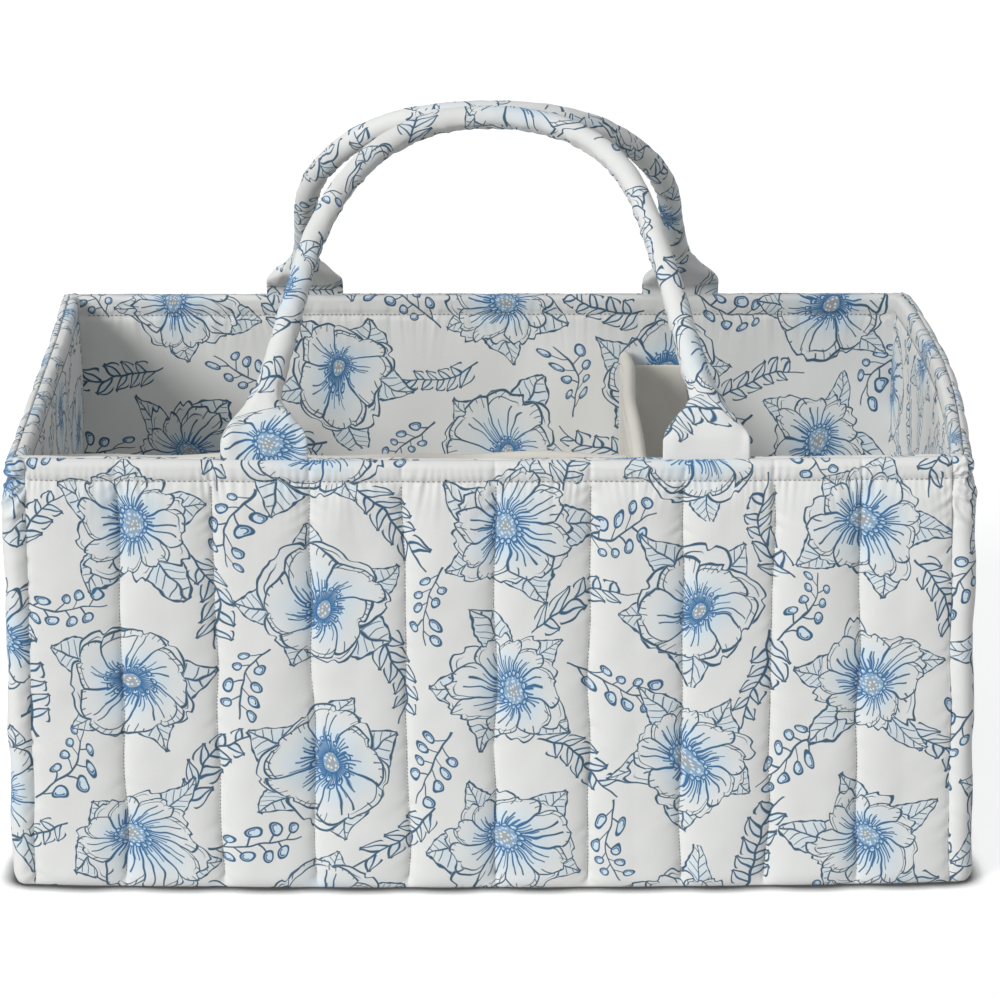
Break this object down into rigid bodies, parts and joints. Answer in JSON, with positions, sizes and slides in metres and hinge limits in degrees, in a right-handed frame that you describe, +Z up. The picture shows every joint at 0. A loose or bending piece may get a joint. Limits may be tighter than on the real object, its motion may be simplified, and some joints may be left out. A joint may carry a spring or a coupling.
{
  "type": "diaper organizer",
  "caption": "Open fabric caddy with quilted padded walls, a firm base, stuffed carry handles that fold outwards, and lift-out padded dividers held by hook and loop tape.",
  "frame": {"origin": "middle of the underside, on the surface that the caddy stands on", "axes": "+X to the right along the long side, +Y to the back, +Z up"},
  "size_m": [0.38, 0.2552, 0.2947],
  "materials": {
    "printed_cloth": "soft woven cotton, off-white with a blue line print of flowers",
    "plain_cloth": "plain cream woven cloth",
    "foam": "soft white foam sheet",
    "board": "stiff matte plastic board",
    "handle_cord": "soft twisted filler cord",
    "tape": "off-white hook and loop tape"
  },
  "bodies": {
    "caddy": {"front_cover": "printed_cloth", "front_padding": "foam", "front_lining": "printed_cloth", "back_cover": "printed_cloth", "back_padding": "foam", "back_lining": "printed_cloth", "left_cover": "printed_cloth", "left_padding": "foam", "left_lining": "printed_cloth", "right_cover": "printed_cloth", "right_padding": "foam", "right_lining": "printed_cloth", "base_cover": "printed_cloth", "base_board": "board", "base_padding": "foam", "base_lining": "printed_cloth", "front_left_tab_root": "printed_cloth", "front_right_tab_root": "printed_cloth", "back_left_tab_root": "printed_cloth", "back_right_tab_root": "printed_cloth", "front_wall_loop": "tape", "back_wall_loop": "tape", "left_wall_loop": "tape"},
    "front_handle": {"front_handle_sleeve": "printed_cloth", "front_handle_cord": "handle_cord"},
    "back_handle": {"back_handle_sleeve": "printed_cloth", "back_handle_cord": "handle_cord"},
    "cross_divider": {"cross_divider_cover": "plain_cloth", "cross_divider_board": "board", "cross_divider_front_hook": "tape", "cross_divider_back_hook": "tape", "cross_divider_side_loop": "tape"},
    "long_divider": {"long_divider_cover": "plain_cloth", "long_divider_board": "board", "long_divider_left_hook": "tape", "long_divider_right_hook": "tape"}
  },
  "joints": [
    {"name": "front_handle_swing", "type": "hinge", "parent": "caddy", "child": "front_handle", "pos_m": [0, -0.126, 0.18076], "axis": [1, 0, 0], "range_deg": [0, 190]},
    {"name": "back_handle_swing", "type": "hinge", "parent": "caddy", "child": "back_handle", "pos_m": [0, 0.126, 0.18076], "axis": [-1, 0, 0], "range_deg": [0, 190]},
    {"name": "cross_divider_lift", "type": "slide", "parent": "caddy", "child": "cross_divider", "axis": [0, 0, 1], "range_m": [0, 0.034]},
    {"name": "long_divider_lift", "type": "slide", "parent": "caddy", "child": "long_divider", "axis": [0, 0, 1], "range_m": [0, 0.07]}
  ]
}
